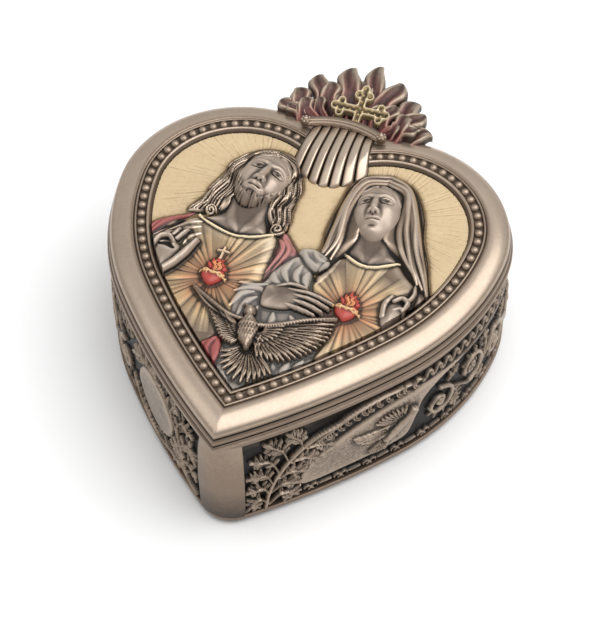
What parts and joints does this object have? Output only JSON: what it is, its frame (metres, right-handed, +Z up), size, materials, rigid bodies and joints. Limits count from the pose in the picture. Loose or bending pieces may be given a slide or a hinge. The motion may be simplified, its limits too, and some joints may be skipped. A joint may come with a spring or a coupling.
{
  "type": "trinket box",
  "caption": "Heart-shaped keepsake box in bronze-finished cast resin: a tray with carved flanks and a lift-off lid with relief figures, beaded border and flame crest.",
  "frame": {"origin": "on the table, on the plane of symmetry, midway between the centres of the two lobes", "axes": "+Z up through the lid, -Y towards the heart's point, +X to the right seen from the point"},
  "size_m": [0.1086, 0.1344, 0.0458],
  "materials": {
    "bronze": "cast resin with a rubbed antique bronze finish",
    "dark_bronze": "cast resin with a dark bronze patina in the recesses",
    "skin_bronze": "cast resin with a satin bronze finish",
    "gilt_ground": "satin gilt ground with fine rays",
    "gilt": "rubbed gilt",
    "red_wash": "dull red wash over bronze",
    "heart_red": "red glaze over bronze",
    "felt": "dark felt"
  },
  "bodies": {
    "box": {"box_shell": "bronze", "left_side_panel": "dark_bronze", "right_side_panel": "dark_bronze", "base_felt": "felt"},
    "lid": {"lid_frame": "bronze", "plaque": "gilt_ground", "border_beads": "bronze", "scallop_clasp": "bronze", "clasp_bar": "bronze", "flame_crest": "dark_bronze", "crest_cross": "gilt", "left_head": "skin_bronze", "left_hair": "bronze", "left_collar": "gilt", "left_tunic": "bronze", "left_mantle": "red_wash", "left_hand": "skin_bronze", "left_heart": "heart_red", "right_head": "skin_bronze", "right_veil": "bronze", "right_collar": "gilt", "right_dress": "bronze", "right_sleeve": "bronze", "right_pointing_hand": "skin_bronze", "right_raised_hand": "skin_bronze", "right_heart": "heart_red", "dove": "bronze", "lower_drape": "bronze"}
  },
  "joints": [
    {"name": "lid_lift", "type": "slide", "parent": "box", "child": "lid", "axis": [0, 0, 1], "range_m": [0, 0.06]}
  ]
}
